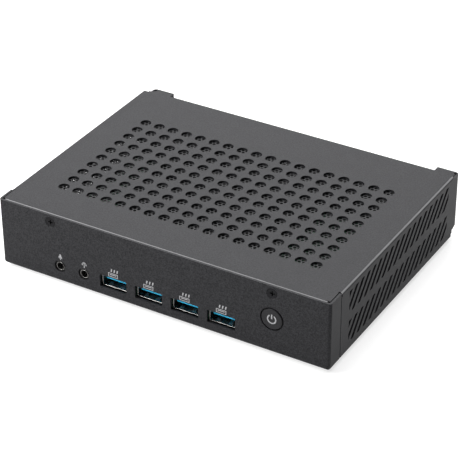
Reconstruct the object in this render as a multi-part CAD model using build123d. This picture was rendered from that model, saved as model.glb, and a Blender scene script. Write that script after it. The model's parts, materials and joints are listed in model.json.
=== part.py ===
from build123d import *
import os

# A mini PC: a flat steel box with ports and a power button at the front, a vented cover, a main board
# with a fan-cooled processor inside, and guards at its two rear corners.
#
# Millimetres, +X to the right as seen from the front, +Y to the back, +Z up. The origin is under the
# middle of the object, on the surface it stands on. In the code, places are given in case coordinates:
# x from the middle, y from the front panel's outer face, z from the base's underside.

# ---- driving dimensions --------------------------------------------------
case_width = 165.4
case_depth = 126.5              # front panel to the rear guards' back faces
case_height = 33.3
cover_depth = 118.4             # front panel to the cover's rear edge
foot_height = 1.6
sheet = 1.0                     # thickness of every folded steel sheet
seam = 0.3                      # gap between two sheets that meet edge to edge
strip_seam = 0.42               # gap between the front panel's side strips and the cover
edge_radius = 0.15              # rounding of the openings in the front panel
button_proud = 0.1              # how far the power button stands in front of the panel
button_travel = 0.5

half_width = case_width / 2
front_y = button_proud - (case_depth + button_proud) / 2
base_z = foot_height

# ---- front panel layout --------------------------------------------------
usb_x = [-23.6 + 18.15 * i for i in range(4)]
usb_z = 7.6
usb_opening = (13.7, 6.2)
usb_shell = (13.1, 5.7)
usb_wall = 0.3
usb_depth = (1.7, 14.4)
usb_tongue_width = 11.1
usb_tongue_front = 3.4
usb_tongue_z = (usb_z - 0.35, usb_z + 1.45)
usb_block_front = 12.4          # the tongue's block fills the shell from here to its back
jack_x = (-51.5, -38.85)
jack_z = 7.9
jack_hole_radius = 2.9
jack_sleeve_radius = 2.02
jack_sleeve_depth = (0.3, 3.4)
jack_bore_radius = 1.8
jack_depth = 13.0
button_x = 55.4
button_z = 16.8
button_radius = 4.95
button_hole_radius = 5.55
cover_screw_x = (-55.4, 55.4)
cover_screw_z = 29.5
cover_screw_sink = 2.75         # countersink's radius at the panel's face
cover_screw_hole = 1.6
cover_screw_head = (0.25, 2.3)  # depth of the head's face and its radius

# ---- power button, from its face inwards -----------------------------------
cap_front = -button_proud
cap_edge = 0.35                 # rounding of the cap's rim
flange_depth = (1.3, 2.3)       # the ring behind the panel that keeps the button in
flange_radius = 6.0
stem_radius = 1.9
stem_back = 6.1
plunger_radius = 1.6
plunger_back = 7.9
spring_back = 4.9
symbol_ring = 1.95              # radius of the ring's middle line
symbol_line = 0.58
symbol_depth = 0.3

# ---- base and cover layout ------------------------------------------------
front_bend = 1.3
tray_bend = 1.2
tray_front = 11.0
wall_window_y = (14.5, 115.0)
wall_window_z = (3.6, 28.8)
base_vent_x = [-26.0 + 10.0 * i for i in range(6)]
base_vent_y = (40.0, 80.0)
base_vent_width = 3.0
strip_depth = 9.2               # front panel's return strips along the sides
cover_front = sheet + 0.25
cover_bend = 1.3
vent_columns = 18
vent_rows = 10
vent_pitch = 7.5
vent_radius = 2.55
vent_first_row = 23.0
slot_pitch = 5.5
slot_width = 2.65               # along the cover's length
slot_lean = 9.4                 # how far a slot's top end lies behind its bottom end
slot_height = 10.8
slot_corner = 0.4
slot_smallest = 1.5             # square millimetres, below which a clipped slot is left out
slot_bands = (4.5, 19.4)        # lower edge of each band
slot_window = (16.6, 113.0)
slot_first = 7.45

# ---- rear guards ---------------------------------------------------------
guard_top = 30.3
guard_reach = 11.0
guard_bend = 2.0
guard_relief = 0.75             # radius of the round relief where the guard's three walls meet
side_wall_x = half_width - sheet          # outer face of the base's own side walls, inside the cover
lip_depth = 121.6               # the base's bottom runs this far back

# ---- rear panel and its ports ---------------------------------------------
rear_face = 118.3
rear_screw_x = (-60.0, 0.0, 60.0)
rear_screw_y = lip_depth - 1.7
rear_vents = 14
rear_vent_pitch = 5.0
rear_vent_first_x = -72.0
rear_vent_z = (23.2, 29.2)
lock_slot_x = -60.0
lock_slot_z = (9.0, 12.0)
# name: (width, depth, height) of each port's body
rear_ports = {
    "power_inlet": (9.0, 14.0, 11.0),
    "display_port_1": (15.0, 12.0, 6.0),
    "display_port_2": (15.0, 12.0, 6.0),
    "rear_usb_1": (14.5, 17.5, 15.6),
    "rear_usb_2": (14.5, 17.5, 15.6),
    "network_port_1": (16.0, 21.0, 13.4),
    "network_port_2": (16.0, 21.0, 13.4),
}
rear_port_start = -45.0
rear_port_gap = 2.2
rear_usb_levels = (4.0, 11.6)   # middle of each rear USB socket above the board
port_back = rear_face + 0.7
inlet_z = 5.5                   # the power socket's axis above the board
inlet_depth = 10.5

# ---- inside --------------------------------------------------------------
board = dict(x=(-76.0, 76.0), y=(3.0, 115.0), z=(3.8, 5.4))
board_top = board["z"][1]
board_holes = [(x, y) for x in (-71.0, 71.0) for y in (8.0, 110.0)]
insert_pitch = 75.0
insert_y = 60.0
insert_radius = 3.6
insert_thread_radius = 1.65
cooler_x = -11.0
cooler_y = 61.0
sink_size = 70.0
sink_base = (7.4, 10.4)
sink_top = 20.4
fan_size = 60.0
fan_top = sink_top + 10.0
fan_bore_radius = 28.6
fan_hole_offset = 25.0
rotor_radius = 27.9
hub_radius = 13.4
shaft_radius = 1.0
bearing_radius = 2.0
tube_radius = bearing_radius + 0.9
memory_levels = {"memory_socket_1": (34.0, 4.4), "memory_socket_2": (26.4, 9.0)}    # x and height
coin_x = 48.6
coin_y = 12.6
button_board = dict(x=(45.4, 65.4), y=(10.2, 11.4), z=(9.4, 24.8))


# ---- helpers -------------------------------------------------------------
def place(x, y, z):
    """Case coordinates to the part's own frame."""
    return Pos(x, front_y + y, base_z + z)


def block(x, y, z):
    """A box between two distances on each axis."""
    centre = [(low + high) / 2 for low, high in (x, y, z)]
    return place(*centre) * Box(x[1] - x[0], y[1] - y[0], z[1] - z[0])


def post(x, y, z, radius):
    """An upright cylinder between two heights."""
    return place(x, y, (z[0] + z[1]) / 2) * Cylinder(radius, z[1] - z[0])


def rod(x, y, z, radius):
    """A cylinder along Y between two depths."""
    return place(x, (y[0] + y[1]) / 2, z) * Rot(90, 0, 0) * Cylinder(radius, y[1] - y[0])


def cone(x, y, z, front_radius, back_radius):
    """A cone along Y between two depths."""
    return place(x, (y[0] + y[1]) / 2, z) * Rot(90, 0, 0) * Cone(back_radius, front_radius, y[1] - y[0])


def around(centre, size):
    """The two ends of a span of this size about its centre."""
    return (centre - size / 2, centre + size / 2)


def group(solids):
    """Separate solids that share one node."""
    return Compound(children=list(solids))


def edges_at(shape, axis, x=None, y=None, z=None):
    """The edges along an axis whose middle lies at the given case coordinates."""
    found = []
    for edge in shape.edges().filter_by(axis):
        middle = edge @ 0.5
        near = (x is None or abs(middle.X - x) < 0.01)
        near = near and (y is None or abs(middle.Y - front_y - y) < 0.01)
        near = near and (z is None or abs(middle.Z - base_z - z) < 0.01)
        if near:
            found.append(edge)
    return found


# ---- sheet metal ---------------------------------------------------------
def front_section():
    """Front panel with its folded return strips and the first stretch of the bottom."""
    outer = block((-half_width, half_width), (0, strip_depth), (0, case_height))
    corners = edges_at(outer, Axis.Z, y=0)
    bottom = edges_at(outer, Axis.X, y=0, z=0) + edges_at(outer, Axis.Y, z=0)
    outer = fillet(corners + bottom, front_bend)
    inside = half_width - sheet
    return outer - block((-inside, inside), (sheet, strip_depth + 1), (sheet, case_height + 1))


def tray_section():
    """Bottom and inner side walls, with one large vent window in each wall."""
    outer = block((-side_wall_x, side_wall_x), (tray_front, lip_depth), (0, guard_top))
    outer = fillet(edges_at(outer, Axis.Y, z=0), tray_bend)
    inside = side_wall_x - sheet
    tray = outer - block((-inside, inside), (tray_front - 1, lip_depth + 1), (sheet, guard_top + 1))
    window = block((-half_width, half_width), wall_window_y, wall_window_z)
    window = fillet(edges_at(window, Axis.X), 1.5)
    link = block((-side_wall_x, side_wall_x), (strip_depth, tray_front), (0, sheet))
    return tray - window + link


def rear_guard(side):
    """Side wall carried back past the cover, folded round the corner, with a flat top flange."""
    reach = (side * (side_wall_x - guard_reach), side * side_wall_x)
    x_span = (min(reach), max(reach))
    outer = block(x_span, (lip_depth - 3.0, case_depth), (2.6, guard_top))
    outer = fillet(edges_at(outer, Axis.Z, x=side * side_wall_x, y=case_depth), guard_bend)
    inner_x = side * (side_wall_x - sheet)
    inner_end = side * (side_wall_x - guard_reach - 1)
    hollow = block((min(inner_x, inner_end), max(inner_x, inner_end)),
                   (lip_depth - 4.0, case_depth - sheet), (2.0, guard_top - sheet))
    hollow = fillet(edges_at(hollow, Axis.Z, x=inner_x, y=case_depth - sheet), guard_bend - sheet)
    guard = outer - hollow
    flange_z = (guard_top - sheet - 0.5, guard_top + 1)
    gap_x = (side * (side_wall_x - sheet - seam), inner_x)
    gap = block((min(gap_x), max(gap_x)), (lip_depth - 4.0, case_depth - sheet), flange_z)
    relief = post(side * (side_wall_x - 1.5), case_depth - 1.5, flange_z, guard_relief)
    slope = Polygon((lip_depth - 4, 1.6), (case_depth + 1, 1.6), (case_depth + 1, 4.4), (122.4, 2.7),
                    (lip_depth - 4, 2.7), align=None)
    under = place(0, 0, 0) * extrude(Plane.YZ * slope, amount=case_width, both=True)
    flange_front = block((min(inner_x, inner_end), max(inner_x, inner_end)),
                         (lip_depth - 4.0, cover_depth + 0.6), flange_z)
    return guard - gap - relief - under - flange_front


def front_openings():
    """Everything cut through the front panel."""
    cuts = []
    for x in usb_x:
        opening = block(around(x, usb_opening[0]), (-1, 2), around(usb_z, usb_opening[1]))
        cuts.append(fillet(edges_at(opening, Axis.Y), 0.5))
    for x in jack_x:
        cuts.append(rod(x, (-1, 2), jack_z, jack_hole_radius))
    cuts.append(rod(button_x, (-1, 2), button_z, button_hole_radius))
    for x in cover_screw_x:
        cuts.append(cone(x, (0, sheet), cover_screw_z, cover_screw_sink, cover_screw_hole))
    return cuts


def front_rims(base):
    """Edges of the openings on the front panel's outer face."""
    face = base.faces().filter_by(Axis.Y).sort_by(Axis.Y)[0]
    return face.inner_wires().edges()


def base_chassis():
    """One folded sheet: bottom, front panel with side returns, inner side walls and rear guards."""
    base = front_section() + tray_section()
    for side in (-1, 1):
        base = base + rear_guard(side)
    base = base - front_openings()
    base = fillet(front_rims(base), edge_radius)
    cuts = [post(x, y, (-1, 2), insert_radius - 0.6) for x, y in insert_places()]
    for x in base_vent_x:
        vent = block(around(x, base_vent_width), base_vent_y, (-1, 2))
        cuts.append(fillet(edges_at(vent, Axis.Z), base_vent_width / 2 - 0.05))
    for x in rear_screw_x:
        cuts.append(post(x, rear_screw_y, (-1, 2), 1.0))
    return base - cuts


def top_cover():
    """Flat top with folded side walls, round vents on top and slanted slots in both walls."""
    outer = block((-half_width, half_width), (cover_front, cover_depth), (sheet, case_height))
    outer = fillet(edges_at(outer, Axis.Y, z=case_height), cover_bend)
    inside = half_width - sheet
    inner = block((-inside, inside), (cover_front - 1, cover_depth + 1), (0, case_height - sheet))
    inner = fillet(edges_at(inner, Axis.Y, z=case_height - sheet), cover_bend - sheet)
    cover = outer - inner
    flange_x = half_width - sheet - strip_seam - 3.0
    flange = block((-flange_x, flange_x), (cover_front, cover_front + sheet), (25.0, case_height - 0.5))
    cover = cover + flange
    cover = fillet(edges_at(cover, Axis.X, y=cover_front, z=case_height), 0.6)
    cuts = []
    strip_end = strip_depth + strip_seam
    for side in (-1, 1):
        edge = (side * (half_width - sheet - strip_seam), side * (half_width + 1))
        cuts.append(block((min(edge), max(edge)), (0, strip_end), (-1, case_height + 1)))
        notch = (side * (half_width - sheet - strip_seam - 1.1), side * (half_width + 1))
        cuts.append(block((min(notch), max(notch)), (0, cover_front + 0.8), (-1, case_height + 1)))
        relief = (side * (half_width - sheet - strip_seam - 0.4), side * (half_width + 1))
        cuts.append(block((min(relief), max(relief)), (strip_end - 0.2, strip_end + 0.5),
                          (case_height - 2.0, case_height + 1)))
        corner = (side * (half_width - 3.2), side * (half_width + 1))
        cuts.append(block((min(corner), max(corner)), (cover_depth - 0.9, cover_depth + 1),
                          (case_height - 2.0, case_height + 1)))
        cuts.append(rod(side * cover_screw_x[1], (0, 4), cover_screw_z, 1.25))
    cover = cover - cuts
    return cover - top_vents() - side_slots()


def top_vents():
    """Round holes on a square grid, centred from side to side."""
    holes = []
    for column in range(vent_columns):
        x = (column - (vent_columns - 1) / 2) * vent_pitch
        for row in range(vent_rows):
            y = vent_first_row + row * vent_pitch
            holes.append(post(x, y, (case_height - 2, case_height + 1), vent_radius))
    return holes


def side_slots():
    """Slanted slots, cut through both side walls and clipped to a straight window."""
    slots = []
    window = (slot_window[0] + slot_window[1]) / 2
    count = int((slot_window[1] - slot_first) / slot_pitch) + 1
    for low in slot_bands:
        high = low + slot_height
        frame = Pos(window, (low + high) / 2) * Rectangle(slot_window[1] - slot_window[0], slot_height)
        for i in range(count):
            start = slot_first + i * slot_pitch
            outline = Polygon((start, low), (start + slot_width, low),
                              (start + slot_width + slot_lean, high), (start + slot_lean, high), align=None)
            whole = start >= slot_window[0] and start + slot_width + slot_lean <= slot_window[1]
            clipped = fillet(outline.vertices(), slot_corner) if whole else outline & frame
            if clipped.area > slot_smallest:
                slots.append(place(0, 0, 0) * extrude(Plane.YZ * clipped, amount=half_width + 1, both=True))
    return slots


def vent_mesh():
    """Thin sheet under the round vents."""
    half = (vent_columns - 1) / 2 * vent_pitch + 6.0
    rows = (vent_first_row - 6.0, vent_first_row + (vent_rows - 1) * vent_pitch + 6.0)
    return block((-half, half), rows, (case_height - sheet - 0.5, case_height - sheet))


# ---- rear panel ----------------------------------------------------------
def port_centres():
    """Middle of each rear port, side by side along the board's rear edge."""
    centres = {}
    x = rear_port_start
    for name, (width, _, _) in rear_ports.items():
        centres[name] = x + width / 2
        x += width + rear_port_gap
    return centres


def port_body(name):
    """The plain body of a rear port, standing on the board."""
    width, depth, height = rear_ports[name]
    x = around(port_centres()[name], width)
    return block(x, (port_back - depth, port_back), (board_top, board_top + height))


def rear_panel():
    """Back plate with a flange under the cover, a foot on the base's lip and the port cut-outs."""
    half = side_wall_x - sheet - seam
    top = case_height - sheet - 0.1
    plate = block((-half, half), (rear_face - sheet, rear_face), (sheet, top))
    flange = block((-half, half), (rear_face - 8.0, rear_face - sheet), (top - sheet, top))
    foot = block((-half + 4, half - 4), (rear_face, lip_depth - 0.3), (sheet, sheet * 2))
    cuts = []
    for name, (width, _, height) in rear_ports.items():
        x = around(port_centres()[name], width + 0.5)
        cuts.append(block(x, (rear_face - 2, rear_face + 1), (board_top - 0.25, board_top + height + 0.25)))
    for i in range(rear_vents):
        x = rear_vent_first_x + i * rear_vent_pitch
        vent = block(around(x, 2.6), (rear_face - 2, rear_face + 1), rear_vent_z)
        cuts.append(fillet(edges_at(vent, Axis.Y), 1.25))
    lock = block(around(lock_slot_x, 7.0), (rear_face - 2, rear_face + 1), lock_slot_z)
    cuts.append(fillet(edges_at(lock, Axis.Y), 1.2))
    for x in rear_screw_x:
        cuts.append(post(x, rear_screw_y, (0, 3), 1.3))
    return plate + flange + foot - cuts


def power_inlet():
    """Body of the round power socket."""
    x = port_centres()["power_inlet"]
    bore = (port_back - inlet_depth, port_back + 1)
    return port_body("power_inlet") - rod(x, bore, board_top + inlet_z, 3.0)


def power_inlet_pin():
    """Centre pin of the power socket."""
    x = port_centres()["power_inlet"]
    return rod(x, (port_back - inlet_depth, port_back - 0.8), board_top + inlet_z, 1.2)


def display_cavity(name, inset):
    """The tapered opening of a display port, narrower at its bottom."""
    x = port_centres()[name]
    half = 15.0 / 2 - inset
    low = board_top + inset
    high = board_top + 6.0 - inset
    taper = 1.6
    outline = Polygon((x - half + taper, low), (x + half - taper, low), (x + half, low + taper),
                      (x + half, high), (x - half, high), (x - half, low + taper), align=None)
    face = Plane(origin=(0, 0, 0), x_dir=(1, 0, 0), z_dir=(0, -1, 0)) * outline
    return place(0, port_back + 1, 0) * extrude(face, amount=11.5)


def display_ports():
    """Shells of the two display ports."""
    names = ("display_port_1", "display_port_2")
    return group(port_body(name) - display_cavity(name, 0.5) for name in names)


def rear_usb_ports():
    """Two shells, each with two USB-A sockets one above the other."""
    shells = []
    for name in ("rear_usb_1", "rear_usb_2"):
        cavities = [block(around(port_centres()[name], 12.5), (port_back - 14.0, port_back + 1),
                          around(board_top + z, 5.1)) for z in rear_usb_levels]
        shells.append(port_body(name) - cavities)
    return group(shells)


def network_ports():
    """Two network sockets, with the keyway for the plug's latch on top."""
    sockets = []
    back = (port_back - 14.0, port_back + 1)
    for name in ("network_port_1", "network_port_2"):
        x = port_centres()[name]
        main = block(around(x, 11.8), back, (board_top + 1.2, board_top + 8.2))
        keyway = block(around(x, 6.4), back, (board_top + 8.1, board_top + 9.8))
        latch = block(around(x, 3.4), back, (board_top + 9.7, board_top + 11.2))
        sockets.append(port_body(name) - main - keyway - latch)
    return group(sockets)


def rear_port_inserts():
    """Insulating tongues inside the rear display and USB ports."""
    centres = port_centres()
    solids = []
    for name in ("display_port_1", "display_port_2"):
        solids.append(block(around(centres[name], 10.8), (port_back - 10.5, port_back - 1.5),
                            around(board_top + 3.3, 1.2)))
    for name in ("rear_usb_1", "rear_usb_2"):
        for z in rear_usb_levels:
            solids.append(block(around(centres[name], 11.1), (port_back - 14.0, port_back - 1.2),
                                around(board_top + z + 1.0, 1.8)))
    return group(solids)


def rear_screws():
    """Screws that hold the rear panel's foot to the base's lip."""
    return group(post(x, rear_screw_y, (sheet * 2, sheet * 2 + 0.9), 1.5)
                 + post(x, rear_screw_y, (0.1, sheet * 2), 1.0) for x in rear_screw_x)


# ---- fasteners and feet --------------------------------------------------
def cover_screws():
    """Countersunk cross-head screws that hold the cover to the front panel."""
    screws = []
    for x in cover_screw_x:
        front, radius = cover_screw_head
        head = cone(x, (front, sheet), cover_screw_z, radius, cover_screw_hole - 0.04)
        shank = rod(x, (sheet, 5.5), cover_screw_z, 1.25)
        wide = block(around(x, 2.4), (0, front + 0.65), around(cover_screw_z, 0.6))
        tall = block(around(x, 0.6), (0, front + 0.65), around(cover_screw_z, 2.4))
        screws.append(head + shank - wide - tall)
    return group(screws)


def rubber_feet():
    """Four stick-on feet with a bevelled lower rim."""
    feet = []
    for x in (-68.0, 68.0):
        for y in (15.0, 107.0):
            foot = post(x, y, (-foot_height, 0), 5.0)
            feet.append(chamfer(foot.edges().group_by(Axis.Z)[0], 0.4))
    return group(feet)


def insert_places():
    """Centres of the four threaded inserts in the bottom."""
    half = insert_pitch / 2
    return [(x, insert_y + y) for x in (-half, half) for y in (-half, half)]


def mounting_inserts():
    """Threaded inserts pressed into the bottom, for a bracket behind a display."""
    solids = []
    for x, y in insert_places():
        body = post(x, y, (0, sheet), insert_radius - 0.6) + post(x, y, (sheet, 2.8), insert_radius)
        solids.append(body - post(x, y, (-1, 3), insert_thread_radius))
    return group(solids)


def board_standoffs():
    """Hexagonal standoffs under the main board's corners."""
    solids = []
    for x, y in board_holes:
        hexagon = extrude(RegularPolygon(3.1, 6), amount=board["z"][0] - sheet)
        solids.append(place(x, y, sheet) * hexagon - post(x, y, (sheet + 0.2, 5), 1.25))
    return group(solids)


def board_screws():
    """Screws through the main board's corners into the standoffs."""
    solids = []
    for x, y in board_holes:
        head = post(x, y, (board_top, board_top + 1.4), 2.7)
        shank = post(x, y, (sheet + 0.4, board_top), 1.25)
        solids.append(head + shank - block(around(x, 2.4), around(y, 0.6), (board_top + 0.8, board_top + 2)))
    return group(solids)


# ---- board and what stands on it ----------------------------------------
def main_board():
    """Printed circuit board with notches for the front sockets."""
    plate = block(board["x"], board["y"], board["z"])
    cuts = [post(x, y, (3, 6), 1.6) for x, y in board_holes]
    for x in usb_x:
        cuts.append(block(around(x, usb_shell[0] + 0.4), (2, usb_depth[1] + 0.2), (3, 6)))
    for x, y in sink_screw_places():
        cuts.append(post(x, y, (3, 6), 1.3))
    return plate - cuts


def sink_screw_places():
    """Corners of the heat sink's base."""
    return [(cooler_x + x, cooler_y + y) for x in (-31.0, 31.0) for y in (-31.0, 31.0)]


def processor():
    """Chip package: a thin substrate with a smaller die on top."""
    substrate = block(around(cooler_x, 40), around(cooler_y, 28), (board_top, board_top + 1.0))
    die = block(around(cooler_x, 20), around(cooler_y, 12), (board_top + 1.0, board_top + 1.8))
    return substrate + die


def thermal_pad():
    """Soft pad between the die and the heat sink."""
    return block(around(cooler_x, 24), around(cooler_y, 15), (board_top + 1.8, sink_base[0]))


def heat_sink():
    """Base plate with upright fins and four posts for the fan's screws."""
    base = block(around(cooler_x, sink_size), around(cooler_y, sink_size), sink_base)
    fins = []
    count = 24
    pitch = (sink_size - 1.0) / (count - 1)
    for i in range(count):
        y = cooler_y - (sink_size - 1.0) / 2 + i * pitch
        fins.append(block(around(cooler_x, sink_size), around(y, 0.9), (sink_base[1] - 0.1, sink_top)))
    sink = base + fins
    posts = [post(x, y, (sink_base[1] - 0.1, sink_top), 3.2) for x, y in fan_screw_places()]
    clear = [post(x, y, (sink_base[1], sink_top + 1), 4.4) for x, y in sink_screw_places()]
    sink = sink - clear + posts
    holes = [post(x, y, (12.0, sink_top + 1), 1.4) for x, y in fan_screw_places()]
    holes += [post(x, y, (sink_base[0] - 1, sink_base[1] + 1), 1.3) for x, y in sink_screw_places()]
    return sink - holes


def heat_sink_screws():
    """Screws that pull the heat sink down on the processor."""
    return group(post(x, y, (sink_base[1], sink_base[1] + 1.8), 2.4)
                 + post(x, y, (2.4, sink_base[1]), 1.2) for x, y in sink_screw_places())


def fan_screw_places():
    """Corner holes of the fan."""
    offsets = (-fan_hole_offset, fan_hole_offset)
    return [(cooler_x + x, cooler_y + y) for x in offsets for y in offsets]


def fan_frame():
    """Square housing with a round bore, four struts and the bearing tube."""
    z = (sink_top, fan_top)
    frame = block(around(cooler_x, fan_size), around(cooler_y, fan_size), z)
    frame = fillet(edges_at(frame, Axis.Z), 3.5)
    frame = frame - post(cooler_x, cooler_y, (z[0] - 1, z[1] + 1), fan_bore_radius)
    frame = frame - [post(x, y, (z[0] - 1, z[1] + 1), 1.7) for x, y in fan_screw_places()]
    struts = []
    for angle in (45, 135, 225, 315):
        strut = Pos(20.5, 0, 0) * Box(17.2, 3.0, 1.6)
        struts.append(place(cooler_x, cooler_y, z[0] + 0.8) * Rot(0, 0, angle) * strut)
    disc = post(cooler_x, cooler_y, (z[0], z[0] + 1.6), 13.0)
    tube = post(cooler_x, cooler_y, (z[0] + 1.5, z[0] + 7.2), tube_radius)
    bore = post(cooler_x, cooler_y, (z[0] + 1.6, z[0] + 8.0), bearing_radius)
    return frame + struts + disc + tube - bore


def fan_bearing():
    """Sleeve bearing pressed into the frame's tube."""
    span = (sink_top + 1.6, sink_top + 7.2)
    sleeve = post(cooler_x, cooler_y, span, bearing_radius)
    return sleeve - post(cooler_x, cooler_y, (span[0] - 1, span[1] + 1), shaft_radius + 0.03)


def fan_stator():
    """Four wound poles round the bearing tube."""
    z = (sink_top + 2.4, sink_top + 6.4)
    poles = [post(cooler_x, cooler_y, z, 6.0)]
    for angle in (0, 90, 180, 270):
        arm = Pos(7.0, 0, 0) * Box(8.0, 4.0, z[1] - z[0])
        shoe = Pos(10.6, 0, 0) * Box(1.2, 8.0, z[1] - z[0])
        spot = place(cooler_x, cooler_y, (z[0] + z[1]) / 2) * Rot(0, 0, angle)
        poles.append(spot * arm)
        poles.append(spot * shoe)
    stator = poles[0] + poles[1:]
    return stator - post(cooler_x, cooler_y, (z[0] - 1, z[1] + 1), tube_radius + 0.05)


def fan_rotor():
    """Hub cup with nine pitched blades."""
    top = sink_top + 9.4
    low = sink_top + 2.3
    cup = post(cooler_x, cooler_y, (low, top), hub_radius)
    cup = fillet(cup.edges().group_by(Axis.Z)[-1], 0.8)
    cup = cup - post(cooler_x, cooler_y, (low - 1, top - 1.4), hub_radius - 1.2)
    ring = post(cooler_x, cooler_y, (low + 0.3, top - 0.4), rotor_radius)
    ring = ring - post(cooler_x, cooler_y, (low - 1, top + 1), hub_radius - 0.3)
    span = rotor_radius - hub_radius + 2.0
    blades = []
    count = 9
    for i in range(count):
        blade = Pos(hub_radius - 1.0 + span / 2, 0, 0) * Rot(42, 0, 0) * Box(span, 14.0, 1.0)
        blades.append(place(cooler_x, cooler_y, (low + top) / 2) * Rot(0, 0, i * 360 / count) * blade & ring)
    return cup + blades - post(cooler_x, cooler_y, (top - 1.5, top - 0.7), shaft_radius)


def fan_shaft():
    """Shaft fixed in the hub and turning in the sleeve bearing."""
    return post(cooler_x, cooler_y, (sink_top + 2.0, sink_top + 8.7), shaft_radius)


def fan_screws():
    """Screws through the fan's corners into the heat sink's posts."""
    return group(post(x, y, (fan_top, fan_top + 0.9), 2.6)
                 + post(x, y, (14.0, fan_top), 1.4) for x, y in fan_screw_places())


def memory_socket(name):
    """Edge socket with a slot for the module and an arm at each end."""
    x, height = memory_levels[name]
    z = (board_top, board_top + height)
    body = block((x, x + 6.0), (24.0, 97.0), z)
    arms = [block((x + 5.9, x + 26.0), y, (z[1] - 3.6, z[1] - 0.4)) for y in ((24.0, 25.2), (95.8, 97.0))]
    slot = block((x + 3.0, x + 7.0), (25.2, 95.8), (z[1] - 2.2, z[1] - 0.8))
    return body + arms - slot


def memory_module(name):
    """Small memory board with four chips on its top face."""
    x, height = memory_levels[name]
    z = board_top + height - 2.1
    plate = block((x + 3.2, x + 33.2), (25.7, 95.3), (z, z + 1.2))
    chips = [block((x + 16.0, x + 28.0), around(y, 9.0), (z + 1.2, z + 2.2))
             for y in (33.0, 48.0, 73.0, 88.0)]
    return plate + chips


def storage_socket():
    """Edge socket for the storage drive."""
    body = block((-75.0, -51.0), (99.5, 104.5), (board_top, board_top + 4.2))
    return body - block((-74.2, -51.8), (98.0, 102.5), (board_top + 2.4, board_top + 3.4))


def storage_drive():
    """Storage card with its chips, held by a screw at its front end."""
    z = board_top + 2.45
    plate = block((-74.0, -52.0), (22.4, 102.4), (z, z + 0.8)) - post(-63.0, 22.4, (z - 1, z + 2), 1.75)
    chips = [block((-72.0, -54.0), around(y, length), (z + 0.8, z + 2.0))
             for y, length in ((38.0, 14.0), (56.0, 14.0), (82.0, 12.0))]
    return plate + chips


def storage_screw():
    """Standoff and screw that hold the storage drive's front end."""
    z = board_top + 2.45
    foot = post(-63.0, 22.4, (board_top, z), 2.6)
    neck = post(-63.0, 22.4, (z - 0.1, z + 0.8), 1.7)
    head = post(-63.0, 22.4, (z + 0.8, z + 1.8), 2.7)
    return foot + neck + head


def coin_cell_holder():
    """Shallow round holder for the clock's battery."""
    body = post(coin_x, coin_y, (board_top, board_top + 2.2), 10.9)
    return body - post(coin_x, coin_y, (board_top + 0.5, board_top + 3), 10.05)


def coin_cell():
    """Clock battery, 20 mm across."""
    cell = post(coin_x, coin_y, (board_top + 0.5, board_top + 3.3), 9.9)
    return cell + post(coin_x, coin_y, (board_top + 3.2, board_top + 3.6), 8.9)


def inductors():
    """Power stage inductors in a row in front of the heat sink."""
    return group(block(around(-42.0 + i * 8.0, 6.4), (17.2, 23.4), (board_top, board_top + 3.0))
                 for i in range(6))


def capacitors():
    """Solid capacitors beside the inductors."""
    return group(post(8.0 + i * 6.4, 20.3, (board_top, board_top + 5.8), 2.5) for i in range(4))


def board_chips():
    """Controller chips along the board's rear part."""
    places = ((-40.0, 99.5, 5.0), (69.0, 30.0, 6.0), (71.5, 60.0, 5.0), (71.0, 84.0, 6.0))
    z = (board_top, board_top + 0.9)
    return group(block(around(x, size), around(y, 4.0), z) for x, y, size in places)


# ---- front sockets -------------------------------------------------------
def usb_shell_at(x):
    """Folded metal shell of a USB-A socket, open at the front, with two spring fingers in its floor."""
    outer = block(around(x, usb_shell[0]), usb_depth, around(usb_z, usb_shell[1]))
    outer = fillet(edges_at(outer, Axis.Y), 0.5)
    inner = block(around(x, usb_shell[0] - 2 * usb_wall), (usb_depth[0] - 1, usb_depth[1] - usb_wall),
                  around(usb_z, usb_shell[1] - 2 * usb_wall))
    shell = outer - fillet(edges_at(inner, Axis.Y), 0.25)
    mouth = shell.faces().filter_by(Axis.Y).sort_by(Axis.Y)[0]
    shell = fillet(mouth.inner_wires().edges(), usb_wall - 0.05)
    return shell + [usb_finger_at(x + offset) for offset in (-3.0, 3.0)]


def usb_finger_at(x):
    """Spring finger that rises from the shell's floor and falls back to it."""
    floor = usb_z - usb_shell[1] / 2 + usb_wall
    profile = Polygon((2.6, floor - 0.1), (7.5, floor - 0.1), (7.5, floor), (4.4, floor + 0.55), (2.6, floor),
                      align=None)
    return place(x, 0, 0) * extrude(Plane.YZ * profile, amount=0.9, both=True)


def usb_tongue_at(x):
    """Insulating tongue and the block that holds it at the back of the shell."""
    tongue = block(around(x, usb_tongue_width), (usb_tongue_front, usb_block_front + 0.1), usb_tongue_z)
    tongue = fillet(edges_at(tongue, Axis.X, y=usb_tongue_front), 0.2)
    back = block(around(x, 12.0), (usb_block_front, usb_depth[1] - usb_wall), around(usb_z, 4.6))
    return tongue + back


def usb_contacts():
    """Contact strips on the underside of each tongue."""
    z = (usb_tongue_z[0] - 0.2, usb_tongue_z[0])
    strips = []
    for x in usb_x:
        for offset in (-3.5, -1.0, 1.0, 3.5):
            strips.append(block(around(x + offset, 1.0), (usb_tongue_front + 0.6, usb_block_front - 0.1), z))
    return group(strips)


def audio_jack_at(x):
    """Jack body behind the panel, with a neck for its sleeve and a blind bore."""
    body = block(around(x, 7.0), (sheet, jack_depth), (board_top, board_top + 5.8))
    body = body - rod(x, (0, jack_sleeve_depth[1]), jack_z, jack_sleeve_radius)
    return body - rod(x, (jack_sleeve_depth[1] - 0.4, jack_depth - 1.0), jack_z, jack_bore_radius)


def jack_sleeves():
    """Metal sleeves that line each jack's bore and stand forward in the panel's hole."""
    sleeves = []
    for x in jack_x:
        sleeve = rod(x, jack_sleeve_depth, jack_z, jack_sleeve_radius)
        sleeve = sleeve - rod(x, (0, 4), jack_z, jack_bore_radius)
        sleeves.append(fillet(sleeve.edges().group_by(Axis.Y)[0], 0.09))
    return group(sleeves)


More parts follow.
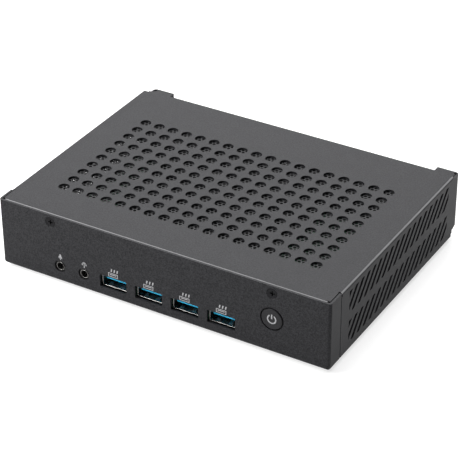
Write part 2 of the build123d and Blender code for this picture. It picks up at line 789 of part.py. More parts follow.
# ---- power button --------------------------------------------------------
def symbol_outline():
    """Standby symbol: an open ring with an upright bar in its gap."""
    ring = Circle(symbol_ring + symbol_line / 2) - Circle(symbol_ring - symbol_line / 2)
    gap = Pos(0, symbol_ring) * Rectangle(2.0, 1.6)
    bar = Pos(0, 1.25) * Rectangle(symbol_line, 2.2)
    return [ring - gap, bar]


def symbol_solids():
    """The symbol as solids let into the cap's front face."""
    front = Plane(origin=(0, 0, 0), x_dir=(1, 0, 0), z_dir=(0, -1, 0))
    spot = place(button_x, cap_front + symbol_depth, button_z)
    return [spot * extrude(front * outline, amount=symbol_depth) for outline in symbol_outline()]


def power_button():
    """Round cap with a retaining flange and a stem that reaches the switch."""
    flange_front, flange_back = flange_depth
    cap = rod(button_x, (cap_front, flange_front + 0.1), button_z, button_radius)
    cap = fillet(cap.edges().group_by(Axis.Y)[0], cap_edge)
    flange = rod(button_x, flange_depth, button_z, flange_radius)
    stem = rod(button_x, (flange_back - 0.1, stem_back), button_z, stem_radius)
    return cap + flange + stem - symbol_solids()


def button_symbol():
    """Pale inlay in the cap."""
    return group(symbol_solids())


def button_guide():
    """Housing behind the front panel that guides the button and carries its board."""
    body = block(around(button_x, 19.0), (sheet, 6.0), (10.3, 24.3))
    body = body - rod(button_x, (0, spring_back), button_z, flange_radius + 0.4)
    body = body - rod(button_x, (4, 7), button_z, stem_radius + 0.4)
    posts = [rod(x, (5.9, button_board["y"][0]), z, 2.0) - rod(x, (7, 11), z, 0.8)
             for x, z in button_board_screw_places()]
    return body + posts


def button_board_screw_places():
    """Corners of the small board that carries the switch."""
    return [(button_x - 7.2, 22.0), (button_x + 7.2, 22.0)]


def button_spring():
    """Envelope of the coil spring round the button's stem."""
    span = (flange_depth[1], spring_back)
    return rod(button_x, span, button_z, 3.6) - rod(button_x, (0, 8), button_z, 2.9)


def button_board_plate():
    """Small upright board that carries the switch."""
    plate = block(button_board["x"], button_board["y"], button_board["z"])
    return plate - [rod(x, (9, 12), z, 1.0) for x, z in button_board_screw_places()]


def button_board_screws():
    """Screws that hold the small board to the guide's posts."""
    back = button_board["y"][1]
    return group(rod(x, (back, back + 1.0), z, 1.7) + rod(x, (7.2, back), z, 0.8)
                 for x, z in button_board_screw_places())


def push_switch():
    """Square body of the push switch, with a bore for its plunger."""
    body = block(around(button_x, 6.0), (6.8, button_board["y"][0]), around(button_z, 6.0))
    bore = (6, plunger_back + button_travel + 0.2)
    return body - rod(button_x, bore, button_z, plunger_radius + 0.06)


def switch_plunger():
    """Plunger that the button's stem pushes."""
    return rod(button_x, (stem_back + 0.05, plunger_back), button_z, plunger_radius)


def board_header():
    """Edge socket on the main board that the small board stands in."""
    body = block((59.6, 65.2), (9.4, 12.4), (board_top, 10.4))
    return body - block((59.0, 66.0), button_board["y"], (button_board["z"][0], 11))


# ---- everything, one STEP per node --------------------------------------
nodes = {
    "base_chassis": base_chassis(),
    "top_cover": top_cover(),
    "vent_mesh": vent_mesh(),
    "rear_panel": rear_panel(),
    "rear_screws": rear_screws(),
    "cover_screws": cover_screws(),
    "rubber_feet": rubber_feet(),
    "mounting_inserts": mounting_inserts(),
    "board_standoffs": board_standoffs(),
    "board_screws": board_screws(),
    "main_board": main_board(),
    "processor": processor(),
    "thermal_pad": thermal_pad(),
    "heat_sink": heat_sink(),
    "heat_sink_screws": heat_sink_screws(),
    "fan_frame": fan_frame(),
    "fan_bearing": fan_bearing(),
    "fan_stator": fan_stator(),
    "fan_rotor": fan_rotor(),
    "fan_shaft": fan_shaft(),
    "fan_screws": fan_screws(),
    "storage_socket": storage_socket(),
    "storage_drive": storage_drive(),
    "storage_screw": storage_screw(),
    "coin_cell_holder": coin_cell_holder(),
    "coin_cell": coin_cell(),
    "inductors": inductors(),
    "capacitors": capacitors(),
    "board_chips": board_chips(),
    "usb_contacts": usb_contacts(),
    "jack_sleeves": jack_sleeves(),
    "power_button": power_button(),
    "button_symbol": button_symbol(),
    "button_guide": button_guide(),
    "button_spring": button_spring(),
    "button_board": button_board_plate(),
    "button_board_screws": button_board_screws(),
    "push_switch": push_switch(),
    "switch_plunger": switch_plunger(),
    "board_header": board_header(),
    "power_inlet": power_inlet(),
    "power_inlet_pin": power_inlet_pin(),
    "display_ports": display_ports(),
    "rear_usb_ports": rear_usb_ports(),
    "network_ports": network_ports(),
    "rear_port_inserts": rear_port_inserts(),
}
for i, x in enumerate(usb_x, start=1):
    nodes[f"front_usb_shell_{i}"] = usb_shell_at(x)
    nodes[f"front_usb_tongue_{i}"] = usb_tongue_at(x)
for i, x in enumerate(jack_x, start=1):
    nodes[f"audio_jack_{i}"] = audio_jack_at(x)
for i in (1, 2):
    nodes[f"memory_socket_{i}"] = memory_socket(f"memory_socket_{i}")
    nodes[f"memory_module_{i}"] = memory_module(f"memory_socket_{i}")

os.makedirs("parts", exist_ok=True)
for name, shape in nodes.items():
    export_step(shape, f"parts/{name}.step")
print(len(nodes), "nodes")
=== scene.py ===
"""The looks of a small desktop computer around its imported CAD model.

Every length is in metres in the CAD's own frame unless a name says otherwise. Materials are laid out in
millimetres. The CAD nodes keep their shapes; this script gives each one its finish, replaces the plain
vent sheet and the plain spring by detailed ones, closes off the lock slot, and prints the small marks on
the front panel.
"""

import json
import math

import bmesh
import bpy
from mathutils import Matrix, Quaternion, Vector


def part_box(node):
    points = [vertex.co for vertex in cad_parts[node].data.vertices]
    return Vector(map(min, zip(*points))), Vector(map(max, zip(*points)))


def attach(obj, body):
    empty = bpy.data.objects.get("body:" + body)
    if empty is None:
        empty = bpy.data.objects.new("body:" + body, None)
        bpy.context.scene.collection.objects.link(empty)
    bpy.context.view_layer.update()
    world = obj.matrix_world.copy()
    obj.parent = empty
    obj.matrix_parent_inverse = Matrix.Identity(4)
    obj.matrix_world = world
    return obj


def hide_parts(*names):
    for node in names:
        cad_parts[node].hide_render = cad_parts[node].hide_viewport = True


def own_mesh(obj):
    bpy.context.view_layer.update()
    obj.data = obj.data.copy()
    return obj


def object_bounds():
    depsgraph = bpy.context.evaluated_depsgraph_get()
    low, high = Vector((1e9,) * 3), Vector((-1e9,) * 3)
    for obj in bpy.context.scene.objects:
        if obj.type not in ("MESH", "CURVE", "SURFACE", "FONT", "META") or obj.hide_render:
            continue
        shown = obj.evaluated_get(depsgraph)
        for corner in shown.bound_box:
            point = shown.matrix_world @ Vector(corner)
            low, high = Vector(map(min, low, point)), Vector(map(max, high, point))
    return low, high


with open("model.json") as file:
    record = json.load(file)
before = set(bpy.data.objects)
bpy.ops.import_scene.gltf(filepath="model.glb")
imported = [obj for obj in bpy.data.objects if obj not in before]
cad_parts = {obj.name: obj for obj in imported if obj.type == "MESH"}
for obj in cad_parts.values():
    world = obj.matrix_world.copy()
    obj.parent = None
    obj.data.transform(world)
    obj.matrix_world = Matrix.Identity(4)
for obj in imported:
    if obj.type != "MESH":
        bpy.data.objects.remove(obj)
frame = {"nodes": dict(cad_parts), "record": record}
cad_low, cad_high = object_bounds()

MM = 0.001
front_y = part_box("base_chassis")[0].y

# ---- camera: the photograph's viewing angle --------------------------------
view_azimuth = 30.65            # degrees round from straight in front, towards the right side
view_elevation = 32.17          # degrees above the horizon
view_roll = 0.34                # degrees, right side down
view_distance = 0.8505
view_lens = 147.94              # millimetres, on a sensor this wide
view_sensor = 36
view_aim = Vector((1.1, -5.0, -4.2)) * MM          # from the middle of the CAD box

# ---- light and floor ---------------------------------------------------------
sky_brightness = 0.08
floor_radius = 4.0
floor_gap = 0.02 * MM            # keeps the floor's face apart from the feet's
floor_glow = 0.68                # the lit sweep's own brightness, which keeps it white beside the object
# name: (place, point it faces, width and height, watts)
softboxes = {
    "overhead": ((-0.2, 0.3, 1.3), (0, 0, 0), (1.4, 1.2), 34.5),
    "behind_left": ((-0.5, 0.85, 0.65), (0, 0, 0), (0.9, 0.6), 7.5),
    "behind_right": ((0.7, 0.95, 0.57), (0, 0, 0), (0.4, 0.4), 0.6),
    "front_left": ((-0.4, -0.38, 0.42), (-0.08, -0.06, 0.0), (0.3, 0.3), 4.9),
}


# ---- small helpers -------------------------------------------------------------
def middle(node):
    """The middle of a CAD node's box."""
    low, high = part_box(node)
    return (low + high) / 2


def new_piece(name, mesh, body, slot, smooth=True):
    """A finished piece: in the scene, riding on its body, with its slot's material."""
    piece = bpy.data.objects.new(name, mesh)
    bpy.context.scene.collection.objects.link(piece)
    for face in mesh.polygons:
        face.use_smooth = smooth
    mesh.materials.append(finishes[slot])
    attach(piece, body)
    return piece


class Finish:
    """A procedural material on one Principled shader. Patterns are laid out in millimetres."""

    def __init__(self, name, **constants):
        self.material = bpy.data.materials.new(name)
        self.material.use_nodes = True
        self.tree = self.material.node_tree
        self.shader = self.tree.nodes["Principled BSDF"]
        for socket, value in constants.items():
            self.shader.inputs[socket.replace("_", " ")].default_value = value
        coordinates = self.tree.nodes.new("ShaderNodeTexCoord")
        scaled = self.node("ShaderNodeVectorMath", operation="SCALE")
        self.tree.links.new(coordinates.outputs["Object"], scaled.inputs[0])
        scaled.inputs["Scale"].default_value = 1 / MM
        self.place = scaled.outputs[0]
        self.normal = None

    def node(self, kind, **settings):
        made = self.tree.nodes.new(kind)
        for name, value in settings.items():
            setattr(made, name, value)
        return made

    def feed(self, socket, value):
        """Links value to a socket, or sets it if it is a plain number."""
        if isinstance(value, bpy.types.NodeSocket):
            self.tree.links.new(value, socket)
        else:
            socket.default_value = value

    def stretched(self, scale):
        """The place, scaled along each axis, so that a pattern grows long where the scale is small."""
        mapping = self.node("ShaderNodeMapping")
        self.feed(mapping.inputs["Vector"], self.place)
        mapping.inputs["Scale"].default_value = scale
        return mapping.outputs[0]

    def noise(self, size, detail=2.0, scale=None):
        """Soft noise from 0 to 1 whose blobs are about size millimetres across."""
        texture = self.node("ShaderNodeTexNoise")
        self.feed(texture.inputs["Vector"], self.stretched(scale) if scale else self.place)
        texture.inputs["Scale"].default_value = 1 / size
        texture.inputs["Detail"].default_value = detail
        return texture.outputs[0]

    def cells(self, size):
        """Distance to the nearest of scattered points about size millimetres apart, in cell widths."""
        texture = self.node("ShaderNodeTexVoronoi", feature="F1")
        self.feed(texture.inputs["Vector"], self.place)
        texture.inputs["Scale"].default_value = 1 / size
        return texture.outputs["Distance"]

    def math(self, operation, first, second):
        made = self.node("ShaderNodeMath", operation=operation)
        self.feed(made.inputs[0], first)
        self.feed(made.inputs[1], second)
        return made.outputs[0]

    def between(self, value, low, high, start=0.0, end=1.0):
        """value from start to end, mapped to low to high and held there."""
        mapped = self.node("ShaderNodeMapRange")
        for socket, number in zip(mapped.inputs, (value, start, end, low, high)):
            self.feed(socket, number)
        return mapped.outputs[0]

    def blend(self, factor, *colours):
        """An even ramp through the colours."""
        ramp = self.node("ShaderNodeValToRGB")
        self.feed(ramp.inputs[0], factor)
        stops = ramp.color_ramp.elements
        while len(stops) < len(colours):
            stops.new(0.5)
        for place, (stop, colour) in enumerate(zip(stops, colours)):
            stop.position = place / (len(colours) - 1)
            stop.color = (*colour, 1.0)
        return ramp.outputs[0]

    def over(self, factor, under, top):
        """top laid over under where factor is 1."""
        mix = self.node("ShaderNodeMixRGB")
        for socket, value in zip(mix.inputs, (factor, under, top)):
            self.feed(socket, value if not isinstance(value, tuple) else (*value, 1.0))
        return mix.outputs[0]

    def bump(self, height, depth):
        """Raises the surface by depth millimetres where height is 1. Calls add up."""
        made = self.node("ShaderNodeBump")
        made.inputs["Distance"].default_value = depth * MM
        self.feed(made.inputs["Height"], height)
        if self.normal:
            self.feed(made.inputs["Normal"], self.normal)
        self.normal = made.outputs[0]
        self.feed(self.shader.inputs["Normal"], self.normal)

    def fold(self, height):
        """1 on the rounded edges that slope away just under the given height in millimetres, 0 elsewhere:
        where the painted fold highlight goes.
        """
        geometry = self.node("ShaderNodeNewGeometry")
        facing = self.node("ShaderNodeSeparateXYZ")
        self.feed(facing.inputs[0], geometry.outputs["Normal"])
        where = self.node("ShaderNodeSeparateXYZ")
        self.feed(where.inputs[0], self.place)
        turned_out = self.between(facing.outputs["Z"], 0, 1, *fold_starts)
        turned_up = self.between(facing.outputs["Z"], 1, 0, *fold_ends)
        near_top = self.between(where.outputs["Z"], 0, 1, height - fold_drop - 0.2, height - fold_drop)
        return self.math("MULTIPLY", near_top, self.math("MULTIPLY", turned_out, turned_up))

    def colour(self, value):
        self.feed(self.shader.inputs["Base Color"], value)

    def roughness(self, value):
        self.feed(self.shader.inputs["Roughness"], value)


# ---- materials -------------------------------------------------------------------
cover_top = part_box("top_cover")[1].z / MM      # millimetres
fold_highlight_paint = (0.2, 0.2, 0.205)                 # painted highlight: a paler tone over the cover's folds, in place of the light they catch
fold_starts = (0.45, 0.6)                      # the normal's upward part, between which that fades in
fold_ends = (0.86, 0.97)                       # and between which it fades out again
fold_drop = 1.1                                # millimetres, how far under the cover's top it reaches


def powder_coat(name, dark, light):
    """Satin black powder coat: a fine pebbled skin, a faint mottle, a few paler grains, and a painted
    highlight along the folds just under the cover's top.
    """
    coat = Finish(name, Specular_IOR_Level=0.1)
    grain = coat.noise(0.6, detail=3)
    cloud = coat.noise(7.0, detail=1)
    tone = coat.between(coat.math("ADD", grain, coat.math("MULTIPLY", cloud, 0.08)), 0, 1, 0.3, 0.78)
    body = coat.blend(tone, dark, light)
    fleck = coat.between(coat.cells(0.9), 1, 0, 0.05, 0.16)
    flecked = coat.over(coat.math("MULTIPLY", fleck, 0.35), body, tuple(2.2 * c for c in light))
    # painted highlight: the paler tone on the folds stands in for the light they catch
    coat.colour(coat.over(coat.fold(cover_top), flecked, fold_highlight_paint))
    coat.roughness(coat.between(grain, 0.4, 0.56, 0.3, 0.7))
    coat.bump(coat.noise(0.5, detail=2), 0.02)
    coat.bump(coat.noise(1.6, detail=1), 0.01)
    return coat.material


def bare_metal(name, dark, light, rough, grain_scale=(1, 0.06, 1), grain=0.25):
    """Bare or plated metal with a fine drawn grain and a cloudy sheen."""
    metal = Finish(name, Metallic=1.0)
    lines = metal.noise(grain, detail=2, scale=grain_scale)
    cloud = metal.noise(3.0, detail=3)
    metal.colour(metal.blend(metal.math("MULTIPLY", metal.math("ADD", lines, cloud), 0.5), dark, light))
    metal.roughness(metal.between(lines, rough - 0.08, rough + 0.1, 0.3, 0.7))
    metal.bump(lines, 0.004)
    return metal.material


def moulded(name, dark, light, rough, grain=0.25, depth=0.01, **constants):
    """Moulded plastic or rubber with a spark-eroded grain."""
    plastic = Finish(name, **constants)
    skin = plastic.noise(grain, detail=2)
    cloud = plastic.noise(5.0, detail=2)
    tone = plastic.math("MULTIPLY", plastic.math("ADD", skin, cloud), 0.5)
    plastic.colour(plastic.blend(tone, dark, light))
    plastic.roughness(plastic.between(skin, rough - 0.07, rough + 0.07, 0.3, 0.7))
    plastic.bump(skin, depth)
    return plastic.material


def circuit_board(name):
    """Green solder mask over copper tracks, with gold-ringed vias."""
    board = Finish(name, Specular_IOR_Level=0.6)
    across = board.noise(0.7, detail=0, scale=(1, 0.02, 1))
    along = board.noise(0.7, detail=0, scale=(0.02, 1, 1))
    patch = board.between(board.noise(9.0, detail=1), 0, 1, 0.47, 0.53)
    lines = board.math("ADD", board.math("MULTIPLY", board.between(across, 0, 1, 0.52, 0.56), patch),
                       board.math("MULTIPLY", board.between(along, 0, 1, 0.52, 0.56),
                                  board.math("SUBTRACT", 1.0, patch)))
    mask = board.over(lines, (0.006, 0.045, 0.022), (0.014, 0.1, 0.045))
    ring = board.between(board.cells(3.2), 1, 0, 0.08, 0.1)
    hole = board.between(board.cells(3.2), 1, 0, 0.035, 0.05)
    gilded = board.over(ring, mask, (0.62, 0.43, 0.16))
    board.colour(board.over(hole, gilded, (0.01, 0.01, 0.01)))
    board.feed(board.shader.inputs["Metallic"], board.math("SUBTRACT", ring, hole))
    board.roughness(board.between(board.noise(2.0, detail=2), 0.28, 0.42, 0.3, 0.7))
    board.bump(lines, 0.02)
    return board.material


finishes = {
    "case_paint": powder_coat("case_paint", (0.005, 0.005, 0.006), (0.035, 0.035, 0.038)),
    # painted light: a paler copy of the case paint, lifting the sheet that lies in the cover's shade to the
    # cover top's brightness
    "mesh_paint": powder_coat("mesh_paint", (0.022, 0.022, 0.023), (0.040, 0.040, 0.042)),
    "black_screw": bare_metal("black_screw", (0.005, 0.005, 0.005), (0.022, 0.022, 0.024), 0.3,
                              grain_scale=(1, 1, 1)),
    "steel": bare_metal("steel", (0.13, 0.125, 0.12), (0.36, 0.35, 0.34), 0.32),
    "brass": bare_metal("brass", (0.5, 0.34, 0.12), (0.78, 0.58, 0.26), 0.3, grain_scale=(1, 1, 0.06)),
    "foot_rubber": moulded("foot_rubber", (0.010, 0.010, 0.010), (0.024, 0.024, 0.024), 0.8, 0.5, 0.03),
    "board_green": circuit_board("board_green"),
    "chip_black": moulded("chip_black", (0.012, 0.012, 0.013), (0.028, 0.028, 0.03), 0.55, 0.12, 0.006),
    "pad_grey": moulded("pad_grey", (0.26, 0.28, 0.31), (0.36, 0.38, 0.42), 0.7, 0.4, 0.02),
    "fin_aluminium": bare_metal("fin_aluminium", (0.1, 0.1, 0.105), (0.2, 0.2, 0.205), 0.4),
    "fan_plastic": moulded("fan_plastic", (0.014, 0.014, 0.015), (0.03, 0.03, 0.032), 0.5),
    "copper": bare_metal("copper", (0.45, 0.16, 0.07), (0.76, 0.36, 0.2), 0.32, grain_scale=(0.1, 1, 1)),
    "port_black": moulded("port_black", (0.004, 0.004, 0.004), (0.010, 0.010, 0.011), 0.5, 0.2, 0.006),
    "port_blue": moulded("port_blue", (0.0, 0.46, 0.82), (0.02, 0.6, 0.95), 0.42, 0.2, 0.006,
                         Subsurface_Weight=0.05, Subsurface_Scale=0.0004),
    "gold_contact": bare_metal("gold_contact", (0.6, 0.42, 0.16), (0.86, 0.66, 0.32), 0.22),
    "button_plastic": moulded("button_plastic", (0.008, 0.008, 0.009), (0.024, 0.024, 0.026), 0.5, 0.5, 0.012,
                              Specular_IOR_Level=0.15),
    "symbol_white": moulded("symbol_white", (0.25, 0.25, 0.26), (0.36, 0.36, 0.37), 0.5, 0.3, 0.004),
}

for part in frame["record"]["subparts"]:
    node = frame["nodes"][part["node"]]
    node.data.materials.clear()
    node.data.materials.append(finishes[part["material_slot"]])


# ---- painted edges ---------------------------------------------------------------------
paint_rounding = 0.1 * MM         # radius the paint gives to cut edges
sharp_edge = math.radians(40)


def round_edges(node):
    """Softens a folded sheet's cut edges, so that they catch the light."""
    weld = node.modifiers.new("weld", "WELD")
    weld.merge_threshold = 1e-6
    bevel = node.modifiers.new("paint", "BEVEL")
    bevel.width = paint_rounding
    bevel.segments = 2
    bevel.limit_method = "ANGLE"
    bevel.angle_limit = sharp_edge
    bevel.harden_normals = True


for sheet_node in ("base_chassis", "rear_panel"):
    round_edges(frame["nodes"][sheet_node])


# ---- the fine perforated sheet under the vents -----------------------------------------
sheet_pitch = 1.95 * MM
sheet_hole = 0.77 * MM            # radius
sheet_margin = 2.4 * MM           # plain border outside the perforated field
hexagon = 6


def perforated_sheet():
    """A sheet of hexagonal cells, each with a round hole, and a plain border, as thick as its CAD node."""
    low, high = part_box("vent_mesh")
    row_step = sheet_pitch * math.sin(math.radians(60))
    columns = int((high.x - low.x - 2 * sheet_margin) / sheet_pitch - 0.5)
    rows = int((high.y - low.y - 2 * sheet_margin) / row_step - 0.5)
    centre = (low + high) / 2
    corner_reach = sheet_pitch / 2 / math.cos(math.radians(30))
    points = []
    faces = []
    shared = {}

    def point(x, y):
        """The number of the vertex there, made once for the cells that share it."""
        key = (round(x * 1e6), round(y * 1e6))
        if key not in shared:
            shared[key] = len(points)
            points.append((x, y, high.z))
        return shared[key]

    for row in range(rows):
        y = centre.y + (row - (rows - 1) / 2) * row_step
        shift = 0 if row % 2 else -sheet_pitch / 2
        for column in range(columns):
            x = centre.x + (column - (columns - 1) / 2) * sheet_pitch + shift
            rim = []
            for step in range(2 * hexagon):
                angle = math.radians(30 * step)
                rim.append(point(x + sheet_hole * math.cos(angle), y + sheet_hole * math.sin(angle)))
            corners = []
            for step in range(hexagon):
                angle = math.radians(30 + 60 * step)
                corners.append(point(x + corner_reach * math.cos(angle), y + corner_reach * math.sin(angle)))
            for step in range(hexagon):
                first = 1 + 2 * step
                faces.append((corners[step], corners[(step + 1) % hexagon], rim[(first + 2) % len(rim)],
                              rim[(first + 1) % len(rim)], rim[first]))
    mesh = bpy.data.meshes.new("vent_sheet")
    mesh.from_pydata(points, [], faces)

    shape = bmesh.new()
    shape.from_mesh(mesh)
    bmesh.ops.remove_doubles(shape, verts=shape.verts, dist=1e-6)
    reach = sheet_hole * 1.01
    border = [edge for edge in shape.edges if edge.is_boundary and edge.calc_length() > reach]
    grown = bmesh.ops.extrude_edge_only(shape, edges=border)
    outer = [item for item in grown["geom"] if isinstance(item, bmesh.types.BMVert)]
    half = (high - low) / 2
    field = Vector(((columns - 1) / 2 * sheet_pitch, (rows - 1) / 2 * row_step))
    for vert in outer:
        away = vert.co - centre
        if abs(away.x) > field.x - sheet_pitch / 4:
            vert.co.x = centre.x + math.copysign(half.x, away.x)
        if abs(away.y) > field.y:
            vert.co.y = centre.y + math.copysign(half.y, away.y)
    bmesh.ops.remove_doubles(shape, verts=shape.verts, dist=1e-6)
    thickness = high.z - low.z
    bmesh.ops.recalc_face_normals(shape, faces=shape.faces)
    solid = bmesh.ops.extrude_face_region(shape, geom=list(shape.faces))
    lowered = [item for item in solid["geom"] if isinstance(item, bmesh.types.BMVert)]
    bmesh.ops.translate(shape, vec=(0, 0, -thickness), verts=lowered)
    bmesh.ops.recalc_face_normals(shape, faces=shape.faces)
    shape.to_mesh(mesh)
    shape.free()
    sheet = new_piece("vent_sheet", mesh, "case", "mesh_paint", smooth=False)
    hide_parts("vent_mesh")


perforated_sheet()


# ---- the button's return spring ------------------------------------------------------------
spring_wire = 0.3 * MM            # radius
spring_turns = 3.5
steps_per_turn = 24


def tube(points, radius, sides=10):
    """A closed tube along the points."""
    shape = bmesh.new()
    rings = []
    for place, here in enumerate(points):
        before = points[max(place - 1, 0)]
        after = points[min(place + 1, len(points) - 1)]
        along = (after - before).normalized()
        side = along.cross(Vector((0, 1, 0))).normalized()
        other = along.cross(side)
        ring = []
        for step in range(sides):
            angle = 2 * math.pi * step / sides
            ring.append(shape.verts.new(here + radius * (math.cos(angle) * side + math.sin(angle) * other)))
        rings.append(ring)
    for ring, following in zip(rings, rings[1:]):
        for step in range(sides):
            after = (step + 1) % sides
            shape.faces.new((ring[step], ring[after], following[after], following[step]))
    shape.faces.new(rings[0])
    shape.faces.new(rings[-1])
    bmesh.ops.recalc_face_normals(shape, faces=shape.faces)
    mesh = bpy.data.meshes.new("tube")
    shape.to_mesh(mesh)
    shape.free()
    return mesh


def button_spring():
    """A helical coil in the place of the CAD's plain spring."""
    low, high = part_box("button_spring")
    centre = (low + high) / 2
    radius = (high.x - low.x) / 2 - spring_wire
    length = high.y - low.y
    steps = int(spring_turns * steps_per_turn)
    points = []
    for step in range(steps + 1):
        angle = 2 * math.pi * spring_turns * step / steps
        y = low.y + spring_wire + (length - 2 * spring_wire) * step / steps
        points.append(Vector((centre.x + radius * math.cos(angle), y, centre.z + radius * math.sin(angle))))
    coil = new_piece("return_coil", tube(points, spring_wire), "case", "steel")
    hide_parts("button_spring")
    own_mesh(coil)


button_spring()


# ---- the steel cup behind the lock slot ----------------------------------------------------------
cup_room = Vector((8.0, 4.6, 3.8)) * MM          # inside, along x, y and z
cup_wall = 0.6 * MM
rear_sheet = 1.05 * MM                           # from the rear panel's outer face to the cup's rim


def lock_cup():
    """A steel cup that closes the lock slot off from the inside of the case."""
    slot = next(row for row in frame["record"]["mounts"] if row["name"] == "lock_slot")
    middle_x, face_y, middle_z = slot["pos_m"]
    rim_y = face_y - rear_sheet
    shape = bmesh.new()
    rings = []
    for wall in (cup_wall, 0):
        for y in (rim_y, rim_y - cup_room.y - wall):
            rings.append([shape.verts.new((middle_x + a * (cup_room.x / 2 + wall), y,
                                           middle_z + b * (cup_room.z / 2 + wall)))
                          for a, b in ((-1, -1), (1, -1), (1, 1), (-1, 1))])
    outer_rim, outer_end, inner_rim, inner_end = rings
    for first, second in ((outer_rim, outer_end), (inner_rim, inner_end), (outer_rim, inner_rim)):
        for step in range(4):
            after = (step + 1) % 4
            shape.faces.new((first[step], first[after], second[after], second[step]))
    shape.faces.new(outer_end)
    shape.faces.new(inner_end)
    bmesh.ops.recalc_face_normals(shape, faces=shape.faces)
    mesh = bpy.data.meshes.new("lock_cup")
    shape.to_mesh(mesh)
    shape.free()
    cup = new_piece("lock_cup", mesh, "case", "steel", smooth=False)
    rounding = cup.modifiers.new("rounding", "BEVEL")
    rounding.width = cup_wall / 3
    rounding.segments = 2


lock_cup()


# ---- printed marks on the front panel -----------------------------------------------------------
print_height = 0.02 * MM          # how far the print stands proud
print_root = 0.01 * MM            # how far it reaches into the panel
line = 0.32                       # millimetres, the print's line width
round_steps = 8                   # straight runs in a pill's rounded end
arc_steps = 14
icon_rise = 4.9 * MM              # an icon's middle above its jack's
icon_shift = 0.4 * MM
front_ports = 4
port_mark_rise = 4.7 * MM         # a socket mark's middle above its port's
port_mark_shift = 0.15 * MM


def bar(x, z, width, height, lean=0.0):
    """A four-cornered bar about (x, z), its top shifted sideways by lean. Outlines are in millimetres."""
    half = width / 2
    low, high = z - height / 2, z + height / 2
    return [(x - half, low), (x + half, low), (x + half + lean, high), (x - half + lean, high)]


def pill(x, z, width, height):
    """A bar with round ends, longer along z."""
    radius = width / 2
    straight = height / 2 - radius
    outline = []
    for start, end_z in ((0, z + straight), (math.pi, z - straight)):
        for step in range(round_steps + 1):
            angle = start + math.pi * step / round_steps
            outline.append((x + radius * math.cos(angle), end_z + radius * math.sin(angle)))
    return outline


def arc(x, z, radius, start, end):
    """A band of the line's width along a circle, from one angle in degrees to another."""
    outline = []
    for edge, turn in ((radius + line / 2, (start, end)), (radius - line / 2, (end, start))):
        for step in range(arc_steps + 1):
            angle = math.radians(turn[0] + (turn[1] - turn[0]) * step / arc_steps)
            outline.append((x + edge * math.cos(angle), z + edge * math.sin(angle)))
    return outline


def printed(name, x, z, outlines):
    """Thin raised print on the front panel, about (x, z) in metres."""
    shape = bmesh.new()
    for outline in outlines:
        corners = [shape.verts.new((x + a * MM, front_y + print_root, z + b * MM)) for a, b in outline]
        face = shape.faces.new(corners)
        raised = bmesh.ops.extrude_face_region(shape, geom=[face])
        moved = [item for item in raised["geom"] if isinstance(item, bmesh.types.BMVert)]
        bmesh.ops.translate(shape, vec=(0, -print_height - print_root, 0), verts=moved)
    bmesh.ops.recalc_face_normals(shape, faces=shape.faces)
    mesh = bpy.data.meshes.new(name)
    shape.to_mesh(mesh)
    shape.free()
    new_piece(name, mesh, "case", "symbol_white", smooth=False)


def front_marks():
    """A microphone and headphones over the jacks, and a generic socket mark over each USB port."""
    microphone = [pill(0, 0.55, 0.95, 1.9), bar(0, -0.9, line, 1.1), bar(-0.72, 0.0, line, 0.9),
                  bar(0.72, 0.0, line, 0.9), bar(0, -0.55, 1.7, line)]
    headphones = [arc(0, 0.35, 0.92, 0, 180), pill(-0.95, 0.2, 0.6, 1.0), pill(0.95, 0.2, 0.6, 1.0),
                  bar(0, -0.45, 0.42, 2.0), bar(0, 0.95, 1.1, 0.5)]
    low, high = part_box("jack_sleeves")
    radius = (high.z - low.z) / 2
    for name, x, icon in (("mark_microphone", low.x + radius, microphone),
                          ("mark_headphones", high.x - radius, headphones)):
        printed(name, x + icon_shift, (low.z + high.z) / 2 + icon_rise, icon)
    socket = [bar(0, 0.85, 5.0, line), bar(0, -0.85, 5.0, line), bar(-2.34, 0, line, 1.38),
              bar(2.34, 0, line, 1.38), bar(0, 0.18, 3.4, 0.42)]
    speed = [bar(0.65 + offset, 2.4, 0.62, 1.5, lean=0.3) for offset in (-1.5, 0.0, 1.5)]
    for number in range(1, front_ports + 1):
        port = middle(f"front_usb_shell_{number}")
        printed(f"mark_port_{number}", port.x + port_mark_shift, port.z + port_mark_rise, socket + speed)


front_marks()


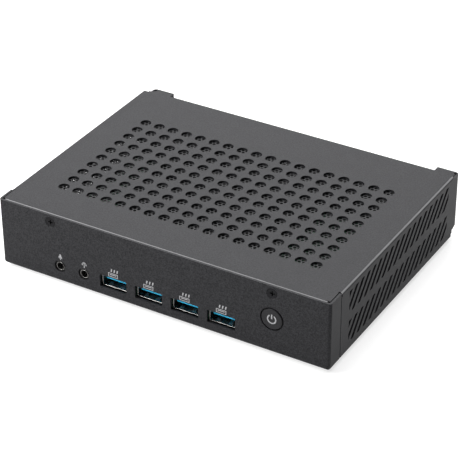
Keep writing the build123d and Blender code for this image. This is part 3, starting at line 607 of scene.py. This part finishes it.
# ---- floor, lights and camera --------------------------------------------------------------------------
def pale_floor():
    """A wide pale disc at the object's foot."""
    shape = bmesh.new()
    bmesh.ops.create_circle(shape, cap_ends=True, segments=96, radius=floor_radius)
    mesh = bpy.data.meshes.new("floor")
    shape.to_mesh(mesh)
    shape.free()
    floor = bpy.data.objects.new("floor", mesh)
    floor.location.z = -floor_gap
    bpy.context.scene.collection.objects.link(floor)
    paper = Finish("floor_paper", Specular_IOR_Level=0.1, Roughness=0.9, Emission_Strength=floor_glow)
    paper.colour(paper.blend(paper.noise(60.0), (0.42, 0.42, 0.42), (0.44, 0.44, 0.44)))
    paper.feed(paper.shader.inputs["Emission Color"], (1.0, 1.0, 1.0, 1.0))
    mesh.materials.append(paper.material)


def softbox(name, place, target, size, power):
    """A rectangular area light at place, turned to target."""
    light = bpy.data.lights.new(name, "AREA")
    light.shape = "RECTANGLE"
    light.size, light.size_y = size
    light.energy = power
    lamp = bpy.data.objects.new(name, light)
    lamp.location = place
    lamp.rotation_mode = "QUATERNION"
    lamp.rotation_quaternion = (Vector(target) - Vector(place)).to_track_quat("-Z", "Y")
    bpy.context.scene.collection.objects.link(lamp)


def studio():
    """A dim white sky and the soft lights."""
    world = bpy.data.worlds.new("studio")
    world.use_nodes = True
    background = world.node_tree.nodes["Background"]
    background.inputs["Color"].default_value = (1, 1, 1, 1)
    background.inputs["Strength"].default_value = sky_brightness
    bpy.context.scene.world = world
    for name, (place, target, size, power) in softboxes.items():
        softbox(name, place, target, size, power)


def camera():
    """The camera at the photograph's viewing angle."""
    azimuth, elevation = math.radians(view_azimuth), math.radians(view_elevation)
    back = Vector((math.sin(azimuth) * math.cos(elevation), -math.cos(azimuth) * math.cos(elevation),
                   math.sin(elevation)))
    lens = bpy.data.cameras.new("camera")
    lens.lens = view_lens
    lens.sensor_width = view_sensor
    lens.clip_start, lens.clip_end = 0.05, 50
    eye = bpy.data.objects.new("camera", lens)
    eye.location = (cad_low + cad_high) / 2 + view_aim + back * view_distance
    eye.rotation_mode = "QUATERNION"
    level = (-back).to_track_quat("-Z", "Y")
    eye.rotation_quaternion = level @ Quaternion((0, 0, 1), -math.radians(view_roll))
    bpy.context.scene.collection.objects.link(eye)
    bpy.context.scene.camera = eye


pale_floor()
studio()
camera()
bpy.context.scene.view_settings.view_transform = "Standard"
